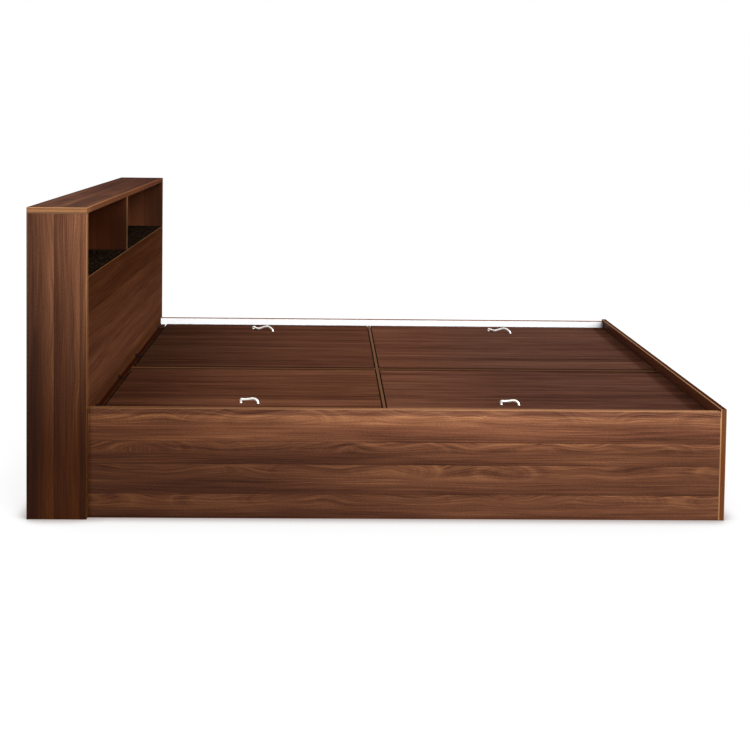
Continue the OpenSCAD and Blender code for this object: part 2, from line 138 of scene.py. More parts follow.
class Wiring:
    """Adds shader nodes to one tree. Each call takes numbers or sockets and returns a socket."""

    def __init__(self, tree):
        self.tree = tree

    def node(self, kind, values=(), **settings):
        made = self.tree.nodes.new(kind)
        for key, value in settings.items():
            setattr(made, key, value)
        for key, value in dict(values).items():
            if isinstance(value, bpy.types.NodeSocket):
                self.tree.links.new(value, made.inputs[key])
            else:
                made.inputs[key].default_value = value
        return made

    def math(self, operation, a, b=0.0, c=0.0, clamp=False):
        return self.node("ShaderNodeMath", {0: a, 1: b, 2: c}, operation=operation,
                         use_clamp=clamp).outputs[0]

    def times(self, a, b):
        return self.math("MULTIPLY", a, b)

    def minus(self, a, b):
        return self.math("SUBTRACT", a, b)

    def add(self, first, *others):
        for other in others:
            first = self.math("ADD", first, other)
        return first

    def scaled(self, socket, factor):
        """(socket - 0.5) * factor, so that noise about its middle adds nothing on average."""
        return self.math("MULTIPLY_ADD", socket, factor, -0.5 * factor)

    def remap(self, value, low, high, start=0.0, end=1.0, kind="SMOOTHSTEP"):
        """start below low, end above high, and smooth between."""
        return self.node("ShaderNodeMapRange", {
            "Value": value, "From Min": low, "From Max": high, "To Min": start,
            "To Max": end}, interpolation_type=kind).outputs[0]

    def step(self, value, low, high):
        """0 below low, 1 above high, smooth between; turned round where low is above high."""
        if low > high:
            return self.remap(value, high, low, 1.0, 0.0)
        return self.remap(value, low, high)

    def split(self, vector):
        return self.node("ShaderNodeSeparateXYZ", {0: vector}).outputs

    def join(self, x, y, z):
        return self.node("ShaderNodeCombineXYZ", {0: x, 1: y, 2: z}).outputs[0]

    def stretch(self, parts, factors, shift=0.0):
        """A vector of three sockets, each times its factor, with a shift on the third."""
        x, y, z = (self.times(p, f) if f != 1 else p for p, f in zip(parts, factors))
        return self.join(x, y, self.add(z, shift))

    def noise(self, vector, detail=2.0, roughness=0.5, scale=1.0):
        return self.node("ShaderNodeTexNoise", {"Vector": vector, "Scale": scale,
                         "Detail": detail, "Roughness": roughness}).outputs[0]

    def line_noise(self, value, detail=2.0, roughness=0.5):
        return self.node("ShaderNodeTexNoise", {"W": value, "Scale": 1.0, "Detail": detail,
                         "Roughness": roughness}, noise_dimensions="1D").outputs[0]

    def ramp(self, factor, stops):
        made = self.node("ShaderNodeValToRGB", {0: factor})
        elements, stops = made.color_ramp.elements, list(stops)
        while len(elements) < len(stops):
            elements.new(1.0)
        for element, (place, rgb) in zip(elements, stops):
            element.position = place
            element.color = (*rgb, 1)
        return made.outputs[0]

    def shades(self, factor, rgb, dark, pale):
        """A ramp from a darkened colour over the colour itself to a lightened one."""
        return self.ramp(factor, [(0.2, scaled_colour(rgb, dark)), (0.5, rgb),
                                  (0.8, scaled_colour(rgb, pale))])

    def mix(self, factor, a, b, blend="MIX"):
        rgb = [v if isinstance(v, bpy.types.NodeSocket) else (*v, 1) for v in (a, b)]
        return self.node("ShaderNodeMix", {0: factor, 6: rgb[0], 7: rgb[1]},
                         data_type="RGBA", blend_type=blend).outputs[2]

    def tinted(self, share, colour, factor):
        """The colour, times a factor where share is 1."""
        return self.mix(share, colour, self.mix(1.0, colour, factor, "MULTIPLY"))

    def gloss(self, square_on, flat_angle):
        """A reflection level that changes with the angle at which the face is seen."""
        flat = self.node("ShaderNodeLayerWeight", {"Blend": 0.5}).outputs["Facing"]
        return self.remap(flat, 0.2, 0.72, square_on, flat_angle, "LINEAR")

    def bump(self, height, strength, distance):
        return self.node("ShaderNodeBump", {"Strength": strength, "Distance": distance,
                         "Height": height}).outputs[0]


def empty_tree(owner):
    """The node tree of a material or a world, with nothing in it."""
    owner.use_nodes = True
    owner.node_tree.nodes.clear()
    return owner.node_tree


class Finish(Wiring):
    """The wiring of one new material. place is in Object coordinates, which are the frame's own
    in metres, parts are its three numbers, and colours are those of the panel."""

    def __init__(self, name):
        self.material = bpy.data.materials.new(name)
        super().__init__(empty_tree(self.material))
        made = self.node("ShaderNodeTexCoord").outputs
        self.place, self.normal = made["Object"], made["Normal"]
        self.parts = self.split(self.place)
        self.colours = bpy.context.scene.bed_finishes

    def surface(self, **values):
        """Ends the wiring in one surface shader. An underscore stands for a space."""
        named = {key.replace("_", " "): value for key, value in values.items()}
        shader = self.node("ShaderNodeBsdfPrincipled", named)
        self.node("ShaderNodeOutputMaterial", {"Surface": shader.outputs[0]})
        return self.material


def scaled_colour(rgb, factor):
    """A colour times a number, or times one number for each channel."""
    factors = factor if isinstance(factor, tuple) else (factor,) * 3
    return [v * f for v, f in zip(rgb, factors)]


# ---------- walnut laminate

PRINT = "walnut print"


def walnut_print():
    """Node group of the printed walnut face: strips run along X and lie side by side on Y.

    The whole part of Across is the strip's number and the rest the place in it. Each strip
    has its own shift, tone and heart line. The growth rings are the distance from the heart
    line, the root of the squares of the way across and of the heart's depth, so they close
    into long arches where the heart rises. Streaks and pores are noise that is drawn out
    along the grain and bent by slower noise.
    """
    group = bpy.data.node_groups.new(PRINT, "ShaderNodeTree")
    numbers = ("Across", "Seed", "Strip", "Figure", "Bold", "Lean")
    for way, kind, names in (("INPUT", "Vector", ("Place",)), ("INPUT", "Float", numbers),
                             ("OUTPUT", "Float", ("Grain", "Streak", "Pore", "Gold"))):
        for name in names:
            group.interface.new_socket(name, in_out=way, socket_type=f"NodeSocket{kind}")
    w = Wiring(group)
    given = w.node("NodeGroupInput").outputs
    x, y, _ = w.split(given["Place"])

    row, share = w.math("FLOOR", given["Across"]), w.math("FRACT", given["Across"])
    chance = w.node("ShaderNodeTexWhiteNoise",
                    {"W": w.add(w.times(row, 1.73), w.times(given["Seed"], 3.31))},
                    noise_dimensions="1D").outputs["Color"]
    shift, heart_at, strip_tone = w.node("ShaderNodeSeparateColor", {0: chance}).outputs
    along = w.math("MULTIPLY_ADD", shift, 6.0, x)
    upper = w.times(w.step(share, 0.4, 0.92), given["Figure"])

    def drawn(across, pull, squeeze, layer=0.0, **settings):
        """Noise drawn out along the strip, another one for each layer."""
        return w.noise(w.stretch((along, across, row), (pull, squeeze, 1), layer), **settings)

    bend = w.scaled(drawn(y, 1.5, 5.0, detail=1.0), 0.026)
    wave = w.scaled(w.line_noise(w.add(w.times(along, 3.4), row), detail=1.0), 0.085)
    yy = w.add(y, bend, w.times(wave, upper))

    streak = drawn(yy, 4.0, 250.0, detail=4.0, roughness=0.62)
    broad = drawn(yy, 1.3, 34.0, 7, detail=4.0, roughness=0.58)
    patch = drawn(y, 0.9, 9.0, 11, detail=1.0)
    bold = drawn(yy, 5.5, 48.0, 17, detail=3.0, roughness=0.62)
    speck = drawn(yy, 150.0, 900.0, 5, detail=1.0)
    pore = w.step(drawn(yy, 60.0, 1500.0, 3, detail=1.0), 0.6, 0.74)
    lines = drawn(yy, 2.6, 210.0, 31, detail=3.0)
    fleck = w.times(w.step(drawn(yy, 9.0, 110.0, 43), 0.66, 0.74), w.step(share, 0.75, 0.97))

    from_heart = w.minus(w.minus(share, 0.5), w.times(heart_at, 0.4))
    heart = w.math("MULTIPLY_ADD", from_heart, given["Strip"], bend)
    rise = w.times(w.line_noise(w.add(w.times(along, 1.4), row)), 0.12)
    ring_at = w.math("SQRT", w.add(w.times(heart, heart), w.times(rise, rise)))
    ring = w.line_noise(w.add(w.times(ring_at, 200.0), row), roughness=0.6)

    seam = w.step(share, 0.035, 0.0)
    grain = w.add(0.5, w.scaled(streak, 0.72), w.scaled(broad, 0.62), w.scaled(patch, 0.42),
                  w.times(w.scaled(bold, 1.0), given["Bold"]),
                  w.times(w.scaled(ring, 0.35), upper), w.scaled(speck, 0.34),
                  w.scaled(strip_tone, 0.12), w.times(w.scaled(share, 1.0), given["Lean"]),
                  w.times(seam, -0.13), w.times(pore, -0.07), w.times(fleck, -0.3))
    gold = w.times(w.step(lines, 0.5, 0.7), upper)
    w.node("NodeGroupOutput", {"Grain": grain, "Streak": streak, "Pore": pore, "Gold": gold})
    return group


# Values of the print's grain at which its five colours stand, from dark lines to golden ones
GRAIN_STOPS = (0.17, 0.36, 0.5, 0.66, 0.88)
# How far a normal leans to an axis where a face starts to look along it, and where it does
LEAN = (0.6, 0.8)
# Where the pale arris line ends and where it is full, from the rim of a face and of a band. The
# line is partly the band's lighter corner and partly a painted highlight
FACE_LINE, BAND_LINE = (2.0 * MM, 1.4 * MM), (2.6 * MM, 1.8 * MM)


def laminate(node, grain, thick, seed, shade=(1, 1, 1), fades=(), figure=1.0, contrast=1.0,
             strip=0.088, seams=(), bold=0.0, lean=0.1, rough=0.42, sheen=(0.08, 0.004),
             band=(1, 1, 1), arris=1.0, rims=(), plain=False, rear=()):
    """Walnut laminate of one board: the print on its two faces, bands on its narrow sides.

    grain and thick are axes. The side of the board is told by the normal: a face looks along
    the thick axis. A pale arris line follows the outer rim, where the distance to the nearest
    side of the board's box is under the width of the band's corner; it is partly the band's
    lighter corner and partly a painted highlight. Strips are as wide as strip says, or lie
    between the seams, and lean is how much lighter a strip's far side is. shade multiplies
    the print on the faces, partly the board's own tone and partly painted light and shade.
    Each of fades is (axis, dark end, light end, colour factor), a slow drift of the sheet's
    tone, partly the print's own and partly painted light and shade, with (axis, sign) behind
    it where only the faces that look that way have it. Each of rims is (axis, width, factor),
    an edge darkened with painted shade. sheen is the gloss seen square on and at a flat angle.
    A plain board has no pale bands. rear holds the values of the bare fibre on a board that
    is only laminated on the high side of its thick axis.
    """
    w = Finish(f"walnut_{node}")
    ink, parts, facing = w.colours, w.parts, w.split(w.normal)
    cross = 3 - grain - thick
    low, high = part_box(node)

    if seams:
        across = w.add(float(math.floor(seed)), *(
            w.remap(parts[cross], a, b, kind="LINEAR") for a, b in zip(seams, seams[1:])))
    else:
        sway = w.math("SINE", w.math("MULTIPLY_ADD", parts[cross], 1 / (0.35 * strip), seed))
        across = w.add(w.math("MULTIPLY_ADD", parts[cross], 1 / strip, seed), w.times(sway, 0.09))
    board = w.node("ShaderNodeGroup", {
        "Place": w.join(parts[grain], parts[cross], parts[thick]), "Across": across,
        "Seed": seed, "Strip": strip, "Figure": figure, "Bold": bold, "Lean": lean},
        node_tree=bpy.data.node_groups.get(PRINT) or walnut_print()).outputs
    face = w.ramp(w.math("MULTIPLY_ADD", board["Grain"], contrast, 0.5 - 0.5 * contrast),
                  zip(GRAIN_STOPS, (ink.walnut_dark, ink.walnut_low, ink.walnut_mid,
                                    ink.walnut_high, ink.walnut_gold)))
    face = w.mix(w.times(board["Gold"], 0.55), face, ink.walnut_gold)
    # The print times shade: partly the board's own tone, partly painted light and shade
    face = w.mix(1.0, face, shade, "MULTIPLY")

    def rim_distance(axis):
        middle, half = (low[axis] + high[axis]) / 2, (high[axis] - low[axis]) / 2
        off = w.math("ABSOLUTE", w.minus(parts[axis], middle))
        return w.minus(half, off)

    in_face = w.step(w.math("ABSOLUTE", facing[thick]), *LEAN)
    side_grain = w.noise(w.join(w.times(parts[grain], 30), w.times(parts[cross], 30),
                                w.times(parts[thick], 700)), detail=3.0)
    rgb = scaled_colour(ink.walnut_low if plain else ink.band, band)
    side = w.mix(w.math("ADD", 0.5, w.scaled(side_grain, 0.9), clamp=True),
                 scaled_colour(rgb, 0.72), scaled_colour(rgb, 1.25))
    tint = w.mix(in_face, side, face)
    line = 0.0
    if not plain:
        rim = w.math("MINIMUM", rim_distance(grain), rim_distance(cross))
        on_band = w.times(w.minus(1.0, in_face), w.step(rim_distance(thick), *BAND_LINE))
        line = w.add(w.times(in_face, w.step(rim, *FACE_LINE)), on_band)
        tint = w.mix(w.times(line, 0.8), tint, scaled_colour(ink.arris, arris))
    # Drifts of tone, partly the print's own and partly painted light and shade
    for axis, dark_end, light_end, factor, *looks in fades:
        dark = w.step(parts[axis], light_end, dark_end)
        for way, sign in looks:
            dark = w.times(dark, w.step(w.times(facing[way], sign), *LEAN))
        tint = w.tinted(dark, tint, factor)
    # Edges darkened with painted shade, for the shade in the gaps beside them
    for axis, width, factor in rims:
        border = w.times(in_face, w.step(rim_distance(axis), width, width * 0.4))
        tint = w.tinted(border, tint, (factor,) * 3)
    if rear:
        tint = w.mix(w.step(facing[thick], 0.3, 0.6), fibre_mottle(w, *rear)[0], tint)

    scuff = w.noise(w.stretch(parts, (9.0, 9.0, 9.0)), detail=3.0)
    roughness = w.add(rough, w.scaled(board["Streak"], 0.12), w.scaled(scuff, 0.10),
                      w.times(board["Pore"], 0.12), w.times(line, -0.08))
    height = w.add(w.times(board["Streak"], 0.6), w.times(board["Pore"], -0.8))
    return w.surface(Base_Color=tint, Roughness=roughness, IOR=1.47,
                     Specular_IOR_Level=w.gloss(*sheen), Normal=w.bump(height, 0.25, 0.12 * MM))


# ---------- other materials

def white_laminate(name, brown_top=False):
    """White balancing sheet: a faint pebble in the surface and a little dust in the colour.
    A sheet that is trimmed flush with a rail is brown on top, where the rail's band laps it."""
    w = Finish(name)
    white = w.colours.white_sheet
    dust = w.noise(w.stretch(w.parts, (3.0, 3.0, 3.0)), detail=4.0, roughness=0.6)
    pebble = w.noise(w.place, scale=900.0)
    tint = w.mix(w.step(dust, 0.35, 0.7), scaled_colour(white, 0.955), white)
    if brown_top:
        top = station("rail_liner_near", 1, Z)
        tint = w.mix(w.step(w.parts[Z], top - 1.5 * MM, top - 1.2 * MM), tint, w.colours.band)
    return w.surface(Base_Color=tint, Normal=w.bump(pebble, 0.12, 0.1 * MM),
                     Roughness=w.add(0.34, w.scaled(pebble, 0.1), w.scaled(dust, 0.12)))


def speckled_laminate(name):
    """Near-black sheet with brown flecks, the cells of a Voronoi pattern whose chance is high:
    large faint ones under small strong ones."""
    w = Finish(name)
    tint = w.colours.speckled
    for along, across, rarity, strength in ((130.0, 42.0, 0.62, 0.45), (330.0, 170.0, 0.76, 0.75)):
        cell = w.node("ShaderNodeTexVoronoi", {
            "Vector": w.stretch(w.parts, (along, across, along)), "Scale": 1.0}).outputs
        chance = w.node("ShaderNodeSeparateColor", {0: cell["Color"]}).outputs[0]
        spot = w.times(w.step(chance, rarity, rarity + 0.2), w.step(cell["Distance"], 0.62, 0.3))
        tint = w.mix(w.times(spot, strength), tint, w.colours.fleck)
    ripple = w.noise(w.place, scale=600.0)
    return w.surface(Base_Color=tint, Roughness=w.add(0.36, w.scaled(ripple, 0.12)),
                     Specular_IOR_Level=w.gloss(0.2, 0.0), Normal=w.bump(ripple, 0.1, 0.1 * MM))


KNOT = tone(104, 62, 34)


def sawn_softwood(name, grain, stain_and_painted_shade=1.0):
    """Sawn softwood: rings as noise drawn out along the grain axis, with saw marks across it.
    Under 1, stain darkens it as wood staining does; on the head battens the darkening is painted
    shade."""
    w = Finish(name)

    def drawn(pull, squeeze):
        return w.stretch(w.parts, [pull if axis == grain else squeeze for axis in AXES])

    ring = w.noise(drawn(5.0, 190.0), detail=4.0, roughness=0.6)
    slow = w.noise(drawn(5.0 / 12, 190.0 / 12))
    knot = w.step(w.node("ShaderNodeTexVoronoi", {
        "Vector": drawn(3.0, 14.0), "Scale": 1.0}).outputs["Distance"], 0.13, 0.05)
    tint = w.shades(w.add(0.5, w.scaled(ring, 1.3), w.scaled(slow, 0.7)),
                    w.colours.softwood, 0.55, 1.25)
    tint = w.mix(w.times(knot, 0.75), tint, KNOT)
    tint = w.mix(1.0, tint, (stain_and_painted_shade, stain_and_painted_shade ** 1.3, stain_and_painted_shade ** 1.6), "MULTIPLY")
    saw = w.noise(drawn(800.0, 30.0))
    return w.surface(Base_Color=tint, Roughness=w.add(0.68, w.scaled(ring, 0.2)),
                     Specular_IOR_Level=0.25, Normal=w.bump(w.add(saw, ring), 0.35, 0.25 * MM))


def fibre_mottle(w, scales, strengths, dark, pale):
    """Colour of pressed fibre: clouds, fine fibres that lie every way, and chips. The noise of
    the fibres and of the chips comes with it."""
    looks = zip(scales, (4.0, 3.0, 3.0), (0.6, 0.7, 0.65))
    cloud, fibre, chip = (w.noise(w.place, detail, rough, scale) for scale, detail, rough in looks)
    value = w.add(0.5, *map(w.scaled, (cloud, fibre, chip), strengths))
    return w.shades(value, w.colours.fibre, dark, pale), fibre, chip


def pressed_fibre(name):
    """Bare pressed fibre board."""
    w = Finish(name)
    tint, fibre, chip = fibre_mottle(w, (14.0, 700.0, 160.0), (0.5, 0.8, 0.7), 0.6, 1.35)
    return w.surface(Base_Color=tint, Roughness=w.add(0.62, w.scaled(chip, 0.2)),
                     Specular_IOR_Level=0.3, Normal=w.bump(w.add(fibre, chip), 0.3, 0.2 * MM))


def powder_coat(name):
    """Black powder coat: a fine orange peel in the surface and slight greying."""
    w = Finish(name)
    peel = w.noise(w.place, scale=1400.0)
    grey = w.noise(w.place, scale=120.0, detail=3.0)
    tint = w.mix(w.step(grey, 0.4, 0.75), w.colours.black, scaled_colour(w.colours.black, 1.8))
    return w.surface(Base_Color=tint, Roughness=w.add(0.5, w.scaled(peel, 0.2)),
                     Specular_IOR_Level=0.04, Normal=w.bump(peel, 0.25, 0.1 * MM))


def plated_metal(name, rgb, rough, stain_and_painted_shade, metallic=1.0):
    """Plated steel: fine brushing, with a slow change in gloss and a faint staining of the plating.
    """
    w = Finish(name)
    slow = w.noise(w.place, scale=70.0, detail=3.0)
    fine = w.noise(w.place, scale=2500.0)
    tint = w.mix(w.step(slow, 0.4, 0.75), rgb, scaled_colour(rgb, stain_and_painted_shade))
    return w.surface(Base_Color=tint, Metallic=metallic,
                     Roughness=w.add(rough, w.scaled(slow, 0.16), w.scaled(fine, 0.08)),
                     Normal=w.bump(fine, 0.06, 0.05 * MM))


# ---------- board dressing

def dress(node, material, arris=True):
    """Gives a packed board its material and, where asked, slightly rounded corners. The long
    thin triangles of a face are joined first, because those that end at a hole's rim would
    fold over as that rim is rounded."""
    piece = NODES[node]
    for place in piece.material_slots:
        place.material = material
    if arris:
        weld = piece.modifiers.new("weld", "WELD")
        weld.merge_threshold = 0.01 * MM
        flat = piece.modifiers.new("whole faces", "DECIMATE")
        flat.decimate_type = "DISSOLVE"
        flat.angle_limit = math.radians(0.5)
        bevel = piece.modifiers.new("arris", "BEVEL")
        bevel.width = bpy.context.scene.bed_hardware.arris_radius
        bevel.segments = 3
        bevel.limit_method = "ANGLE"
        bevel.angle_limit = math.radians(40)
        bevel.use_clamp_overlap = False
        bevel.miter_outer = "MITER_ARC"
        bevel.harden_normals = True


def dress_all(nodes, material, arris=True):
    """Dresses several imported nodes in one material."""
    for node in nodes:
        dress(node, material, arris)


def walnut(node, grain, thick, seed, **looks):
    """Dresses a packed board in a walnut laminate of its own."""
    dress(node, laminate(node, grain, thick, seed, **looks))


# ---------- numpy surfaces

def add_object(name, data):
    """A new object of the scene that holds the data."""
    made = bpy.data.objects.new(name, data)
    bpy.context.scene.collection.objects.link(made)
    return made


def tube_faces(rows, columns):
    """Quads between rings of points, ring by ring; the last column joins the first."""
    r = np.arange(rows - 1)[:, None]
    c = np.arange(columns)[None, :]
    d = (c + 1) % columns
    return np.stack([r * columns + c, r * columns + d, (r + 1) * columns + d,
                     (r + 1) * columns + c], axis=-1).reshape(-1, 4)


def capped_tube(rings):
    """Points and faces of a closed tube from rings (n, sides, 3), with one pole at each end."""
    count, sides = rings.shape[:2]
    poles = np.stack([rings[0].mean(axis=0), rings[-1].mean(axis=0)])
    points = np.concatenate([rings.reshape(-1, 3), poles])
    quads = tube_faces(count, sides)
    k = np.arange(sides)
    after = (k + 1) % sides
    first, last = count * sides, count * sides + 1
    start = np.stack([np.full(sides, first), after, k], axis=-1)
    end = np.stack([np.full(sides, last), (count - 1) * sides + k,
                    (count - 1) * sides + after], axis=-1)
    return points, quads.tolist() + start.tolist() + end.tolist()


def mesh_piece(name, solids, material, body, node, smooth_angle=35):
    """One object from several closed solids, each (points, faces), that rides on a body and
    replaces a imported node."""
    points, faces, base = [], [], 0
    for solid_points, solid_faces in solids:
        points.append(solid_points)
        faces += [[base + i for i in face] for face in solid_faces]
        base += len(solid_points)
    mesh = bpy.data.meshes.new(name)
    mesh.from_pydata(np.concatenate(points).tolist(), [], faces)
    mesh.validate()
    mesh.materials.append(material)
    mesh.shade_smooth()
    mesh.set_sharp_from_angle(angle=math.radians(smooth_angle))
    piece = add_object(name, mesh)
    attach(piece, body)
    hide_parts(node)


def smooth_path(knots, steps):
    """Catmull-Rom curve through the knots: for each span the cubic that passes through both
    ends with the slope of the chord between their neighbours, at equal steps."""
    p = np.asarray(knots, float)
    padded = np.concatenate([p[:1], p, p[-1:]])
    a, b, c, d = (padded[k:k + len(p) - 1, None, :] for k in range(4))
    t = (np.arange(steps) / steps)[None, :, None]
    spans = 0.5 * (2 * b + (c - a) * t + (2 * a - 5 * b + 4 * c - d) * t ** 2
                   + (3 * b - a - 3 * c + d) * t ** 3)
    return np.concatenate([spans.reshape(-1, 3), p[-1:]])


def swept_wire(path, radii, sides, start, end):
    """Rings of a round wire: at each point of the path a circle of its radius, square to the
    path. The direction is the chord between neighbours, and straight up or down at the feet."""
    way = np.gradient(path, axis=0)
    way[0], way[-1] = start, end
    way /= np.linalg.norm(way, axis=1, keepdims=True)
    side = np.cross(way, [0.0, 1.0, 0.0])
    side /= np.linalg.norm(side, axis=1, keepdims=True)
    up = np.cross(side, way)
    turn = np.arange(sides) * 2 * np.pi / sides
    return (path[:, None, :] + radii[:, None, None]
            * (np.cos(turn)[None, :, None] * side[:, None, :]
               + np.sin(turn)[None, :, None] * up[:, None, :]))


def placed(points, origins, outward, spins):
    """Copies of points about the Z axis, one for each origin, with Z along its outward way.

    Each copy is turned about its own axis by its spin first, then tilted, then moved."""
    out = np.asarray(outward, float)
    helper = np.where(np.abs(out[:, 2:3]) > 0.9, [[1.0, 0.0, 0.0]], [[0.0, 0.0, 1.0]])
    side = np.cross(helper, out)
    side /= np.linalg.norm(side, axis=1, keepdims=True)
    up = np.cross(out, side)
    c, s = np.cos(spins)[:, None], np.sin(spins)[:, None]
    first, second = c * side + s * up, -s * side + c * up
    turn = np.stack([first, second, out], axis=-1)
    return np.einsum("nij,kj->nki", turn, points) + np.asarray(origins)[:, None, :]


def fastener(outline, arm_half, arm_reach, depth, shank):
    """Points and faces of a screw with a cross recess, about Z, its head's top at the origin.

    Rows run from the recess's middle over the head to the tip. Each quarter has six columns:
    two on the floor of an arm of the recess, two just outside it and two on the head between
    the arms. At radius r an arm spans the angle whose sine is its half width over r, so the
    columns follow the arm's straight walls. outline is the head's (radius, height) rows and
    shank its rows below the head.
    """
    inner = np.array([0.35, 1.0, 1.45]) * arm_half
    radii = np.concatenate([inner, np.linspace(2.0 * arm_half, arm_reach, 2),
                            [arm_reach * 1.04]])
    top_r, top_z = np.array(outline).T
    height = np.interp(radii, top_r, top_z)
    in_arm = radii <= arm_reach
    spread = np.arcsin(np.clip(arm_half / radii, 0, 0.7))
    quarter = np.arange(4) * np.pi / 2
    rows = []
    for r, z, inside, a in zip(radii, height, in_arm, spread):
        lip = a * 1.12 + 0.02
        offsets = np.array([-lip, -a, a, lip, lip + (np.pi / 2 - 2 * lip) / 3,
                            lip + (np.pi / 2 - 2 * lip) * 2 / 3])
        centre = r <= arm_half * 1.01
        drop = np.array([centre, inside, inside, centre, centre, centre]) * depth
        angle = (quarter[:, None] + offsets[None, :]).ravel()
        fall = np.tile(drop, 4)
        rows.append(np.stack([r * np.cos(angle), r * np.sin(angle), z - fall], axis=-1))
    even = (quarter[:, None] + np.array([-0.4, -0.13, 0.13, 0.4, 0.68, 0.9])[None, :]).ravel()
    for r, z in [p for p in outline if p[0] > arm_reach * 1.04] + list(shank):
        rows.append(np.stack([r * np.cos(even), r * np.sin(even), np.full(24, z)], axis=-1))
    return capped_tube(np.stack(rows))


def profile(*rows):
    """(radius, height) rows in metres, from the middle outwards and down, of rows in mm."""
    return [(r * MM, z * MM) for r, z in rows]


PAN_HEAD = profile((0, 0), (1.4, -0.06), (2.4, -0.25), (3.2, -0.6), (3.75, -1.1), (4, -1.6),
                   (4, -2))
FLAT_HEAD = profile((0, -0.1), (3.4, -0.1), (3.8, -0.2), (3.85, -0.5), (2.6, -1.9))
CAM_FACE = profile((0, -0.3), (4.9, -0.3), (5.1, -0.9), (5.7, -0.9), (5.9, -0.25),
                   (7.1, -0.25), (7.42, -0.55), (7.45, -1.2))
CAM_SIDE = profile((7.45, -12.6), (7.1, -13), (0.5, -13))
BOLT_HEAD = profile((0, 0), (3, -0.1), (5, -0.5), (6.6, -1.3), (7.6, -2.4), (8, -3.4), (8, -4))
BOLT_SHANK = profile((4, -4), (4, -46.5), (3.2, -48))
# Cross recesses: half the width of an arm, its reach and its depth
CAM_CROSS = (0.95 * MM, 3.9 * MM, 2.2 * MM)
BOLT_CROSS = (1.2 * MM, 4.6 * MM, 2.4 * MM)
SCREW_CROSS_DEPTH = 0.9 * MM
# How far heads stand out: pan heads, those of the gap's angles, and bolt heads
PAN_HEIGHT, GAP_HEIGHT, BOLT_HEAD_HEIGHT = 2 * MM, 1 * MM, 4 * MM

# Each kind of wood screw: its head, the radius of its shank and the reach of its tip
SCREWS = {"corner": (PAN_HEAD, 2 * MM, 11.4 * MM), "gap": (PAN_HEAD, 2 * MM, 13.9 * MM),
          "handle": (PAN_HEAD, 2 * MM, 22.9 * MM), "batten": (FLAT_HEAD, 1.95 * MM, 28.9 * MM)}


def wood_screw(kind):
    """Points and faces of a wood screw. The shank keeps its radius and narrows to a point over
    its last fifth, and the recess takes just over half of the head."""
    head, shank_r, reach = SCREWS[kind]
    head_r, rim = head[-1]
    shank = [(shank_r, rim), (shank_r, -0.8 * reach), (shank_r * 0.4, -0.96 * reach),
             (shank_r * 0.1, -reach)]
    return fastener(head, head_r * 0.13 + 0.1 * MM, head_r * 0.56, SCREW_CROSS_DEPTH, shank)


def screws_piece(name, shape, places, material, body, node):
    """One object of like screws. places holds (point on the head's top, outward way)."""
    points, faces = shape
    spins = np.random.default_rng(len(name) * 7 + len(places)).uniform(0, np.pi, len(places))
    copies = placed(points, [p for p, _ in places], [n for _, n in places], spins)
    mesh_piece(name, [(c, faces) for c in copies], material, body, node)


def bent_strap(length_a, length_b, thickness, width, corner, way_a, way_b):
    """Rings of a flat steel strap bent to an L, with its outer corner at the given point.

    The middle line runs from the end of leg a to the bend and on to the end of leg b: straight,
    a quarter circle, straight. Across it stands a rounded rectangle, whose half width narrows
    at both ends by the quarter circle of the rounded tips. tip and r are the radii of the tips
    and of the strap's edges.
    """
    bend, tip, r = thickness * 1.1, 3 * MM, 0.5 * MM
    half, inset = width / 2, thickness / 2
    a, b = np.asarray(way_a, float), np.asarray(way_b, float)
    t = np.linspace(0, np.pi / 2, 7)[:, None]
    ends = np.array([0.0, 0.08, 0.3, 0.62, 1.0])[:, None] * tip
    far_a, far_b = length_a - ends, length_b - ends
    middle = bend + inset
    line = np.concatenate([
        a * far_a + b * inset,
        a * (middle - bend * np.sin(t)) + b * (middle - bend * np.cos(t)),
        (b * far_b + a * inset)[::-1]])
    way = np.concatenate([np.repeat([-a], 5, axis=0), -a * np.cos(t) + b * np.sin(t),
                          np.repeat([b], 5, axis=0)])
    across = np.cross(a, b)
    out = np.cross(across, way)
    trim = half - tip + np.sqrt(np.clip(tip ** 2 - (tip - ends[:, 0]) ** 2, 0, None))
    widths = np.concatenate([trim, np.full(7, half), trim[::-1]])
    turn = np.arange(16) * 2 * np.pi / 16 + np.pi / 16
    lobe_w, lobe_t = np.sign(np.cos(turn)), np.sign(np.sin(turn))
    ring_w = lobe_w[None, :] * (widths[:, None] - r) + r * np.cos(turn)
    ring_t = lobe_t * (thickness / 2 - r) + r * np.sin(turn)
    return (np.asarray(corner, float) + line[:, None, :]
            + ring_w[:, :, None] * across + ring_t[None, :, None] * out[:, None, :])


# ---------- stations

def station(node, side, axis):
    """One side of a node's box: 0 is the low side and 1 the high one."""
    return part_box(node)[side][axis]


# Sides of packed boards that the fittings are set out from
LINES = {"front": ("headboard_front", 1, X), "box": ("head_rail", 1, X),
         "foot": ("footboard", 0, X), "back": ("headboard_back", 0, X),
         "liner": ("rail_liner_far", 0, Y), "out": ("headboard_back", 1, Y),
         "rest": ("deck_near_head", 0, Z), "deck": ("deck_near_head", 1, Z),
         "head_rail": ("head_rail", 1, Z), "shelf_under": ("headboard_shelf", 0, Z)}
# Partitions that give their middle line and half their thickness
MIDDLES = {"mid": ("centre_partition", Y), "cross": ("cross_partition_near", X)}


def layout():
    """Where the lines and middles above stand, and the height of a batten."""
    at = {name: station(*side) for name, side in LINES.items()}
    for name, (node, axis) in MIDDLES.items():
        low, high = station(node, 0, axis), station(node, 1, axis)
        at[name], at[name + "_half"] = (low + high) / 2, (high - low) / 2
    at["batten"] = station("side_battens", 1, Z) - station("side_battens", 0, Z)
    return SimpleNamespace(**at)


# Heights at which the strips of the near rail's print meet
RAIL_SEAMS = (-0.01, 0.0786, 0.173, 0.245, 0.36)
